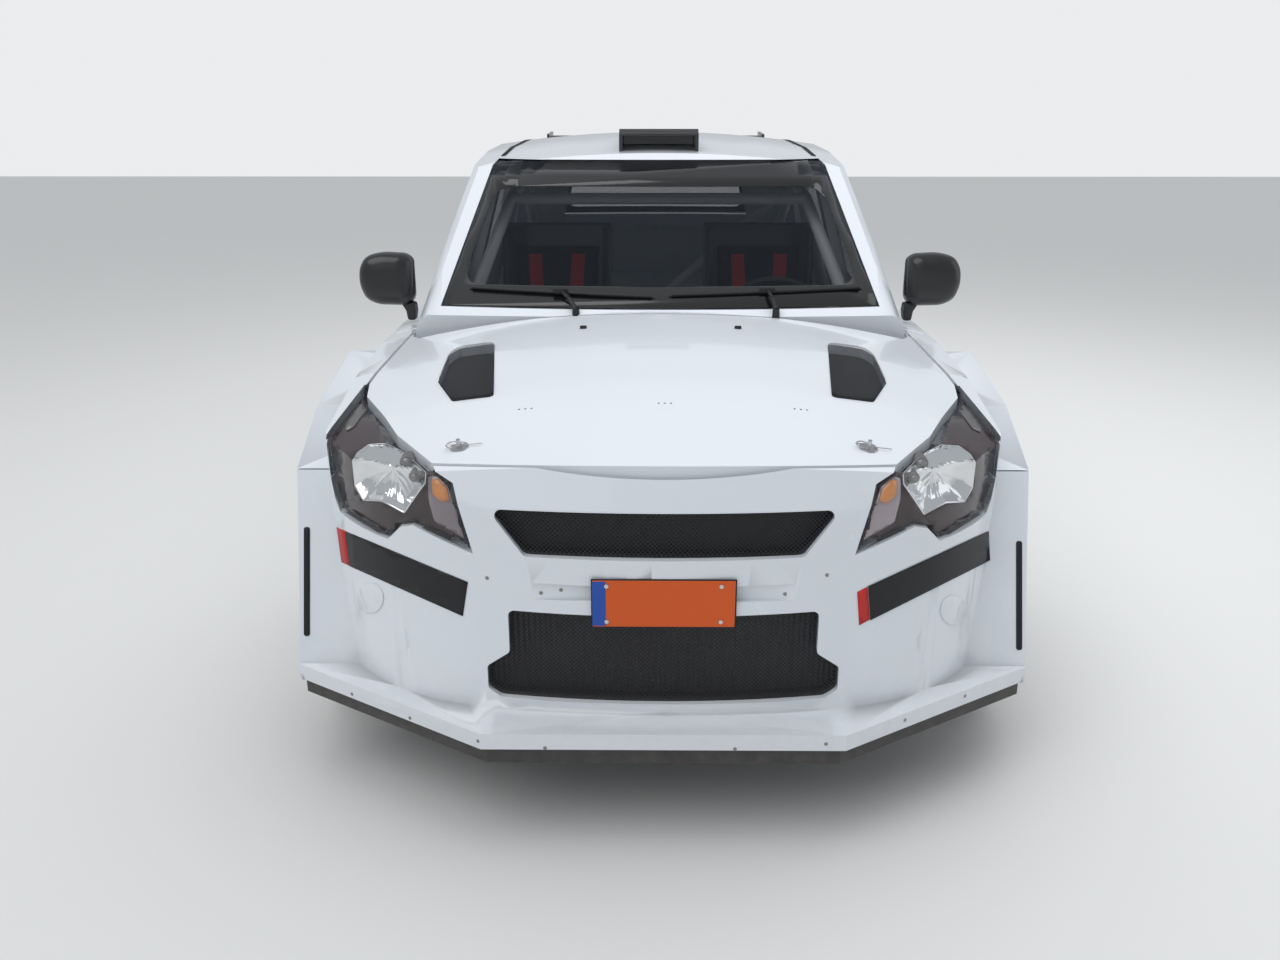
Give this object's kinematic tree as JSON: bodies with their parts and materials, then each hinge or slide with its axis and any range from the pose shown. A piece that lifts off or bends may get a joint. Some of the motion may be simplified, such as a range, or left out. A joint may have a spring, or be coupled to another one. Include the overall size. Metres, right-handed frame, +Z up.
{
  "type": "rally car",
  "caption": "Five-door rally hatchback with wide flares, vented bonnet, roof scoop, rear wing and a caged cabin; doors, bonnet and tailgate open, wheels steer and roll.",
  "frame": {"origin": "on the ground below the middle of the car's length and width", "axes": "-Y towards the nose, +X towards the car's left side, +Z up"},
  "size_m": [1.856, 3.84, 1.4639],
  "materials": {
    "paint": "cool white gloss paint",
    "black_plastic": "matt black moulded plastic",
    "carbon": "gloss black composite",
    "glass": "clear glass",
    "lamp_lens": "clear polycarbonate",
    "tail_lens": "red lens",
    "lamp_housing": "bright reflector in a dark housing",
    "wheel": "white enamelled alloy",
    "tyre": "black rubber",
    "steel": "dark steel",
    "alloy": "bare alloy",
    "tube": "light grey painted tube",
    "seat": "black fabric over a composite shell",
    "dash": "flocked black"
  },
  "bodies": {
    "root": {"body_shell": "paint", "front_bumper": "paint", "fender_left": "paint", "fender_right": "paint", "grilles": "black_plastic", "splitter": "black_plastic", "headlamp_housings": "lamp_housing", "headlamp_lenses": "lamp_lens", "windscreen": "glass", "wipers": "black_plastic", "rear_bumper": "paint", "tail_lamps": "tail_lens", "roof_scoop": "carbon", "suspension": "steel", "knuckles_rear": "steel", "driveline": "steel", "exhaust": "alloy", "engine_block": "alloy", "radiator": "alloy", "roll_cage": "tube", "seats": "seat", "dashboard": "dash", "steering_wheel": "black_plastic"},
    "bonnet": {"bonnet": "paint", "bonnet_vents": "black_plastic"},
    "door_front_left": {"door_front_left": "paint", "door_glass_front_left": "glass", "mirror_left": "carbon"},
    "door_front_right": {"door_front_right": "paint", "door_glass_front_right": "glass", "mirror_right": "carbon"},
    "door_rear_left": {"door_rear_left": "paint", "door_glass_rear_left": "glass"},
    "door_rear_right": {"door_rear_right": "paint", "door_glass_rear_right": "glass"},
    "tailgate": {"tailgate": "paint", "tailgate_glass": "glass", "rear_wing": "carbon"},
    "steer_left": {"knuckle_left": "steel"},
    "steer_right": {"knuckle_right": "steel"},
    "wheel_front_left": {"wheel_front_left": "wheel", "tyre_front_left": "tyre"},
    "wheel_front_right": {"wheel_front_right": "wheel", "tyre_front_right": "tyre"},
    "wheel_rear_left": {"wheel_rear_left": "wheel", "tyre_rear_left": "tyre"},
    "wheel_rear_right": {"wheel_rear_right": "wheel", "tyre_rear_right": "tyre"}
  },
  "joints": [
    {"name": "steer_left", "type": "hinge", "parent": "root", "child": "steer_left", "pos_m": [0.68, -1.125, 0.325], "axis": [0, 0, 1], "range_deg": [-30, 30]},
    {"name": "steer_right", "type": "hinge", "parent": "root", "child": "steer_right", "pos_m": [-0.68, -1.125, 0.325], "axis": [0, 0, 1], "range_deg": [-30, 30]},
    {"name": "spin_front_left", "type": "hinge", "parent": "steer_left", "child": "wheel_front_left", "pos_m": [0.778, -1.125, 0.325], "axis": [1, 0, 0], "continuous": true},
    {"name": "spin_front_right", "type": "hinge", "parent": "steer_right", "child": "wheel_front_right", "pos_m": [-0.778, -1.125, 0.325], "axis": [1, 0, 0], "continuous": true},
    {"name": "spin_rear_left", "type": "hinge", "parent": "root", "child": "wheel_rear_left", "pos_m": [0.778, 1.355, 0.325], "axis": [1, 0, 0], "continuous": true},
    {"name": "spin_rear_right", "type": "hinge", "parent": "root", "child": "wheel_rear_right", "pos_m": [-0.778, 1.355, 0.325], "axis": [1, 0, 0], "continuous": true},
    {"name": "door_front_left", "type": "hinge", "parent": "root", "child": "door_front_left", "pos_m": [0.823, -0.724, 0.6], "axis": [0, 0, -1], "range_deg": [0, 68]},
    {"name": "door_front_right", "type": "hinge", "parent": "root", "child": "door_front_right", "pos_m": [-0.823, -0.724, 0.6], "axis": [0, 0, 1], "range_deg": [0, 68]},
    {"name": "door_rear_left", "type": "hinge", "parent": "root", "child": "door_rear_left", "pos_m": [0.832, 0.124, 0.6], "axis": [0, 0, -1], "range_deg": [0, 68]},
    {"name": "door_rear_right", "type": "hinge", "parent": "root", "child": "door_rear_right", "pos_m": [-0.832, 0.124, 0.6], "axis": [0, 0, 1], "range_deg": [0, 68]},
    {"name": "bonnet_lift", "type": "hinge", "parent": "root", "child": "bonnet", "pos_m": [0, -0.796, 0.975], "axis": [-1, 0, 0], "range_deg": [0, 50]},
    {"name": "tailgate_lift", "type": "hinge", "parent": "root", "child": "tailgate", "pos_m": [0, 1.421, 1.376], "axis": [1, 0, 0], "range_deg": [0, 75]}
  ],
  "couplings": [
    {"joint": "steer_right", "follows": "steer_left", "ratio": 1}
  ]
}
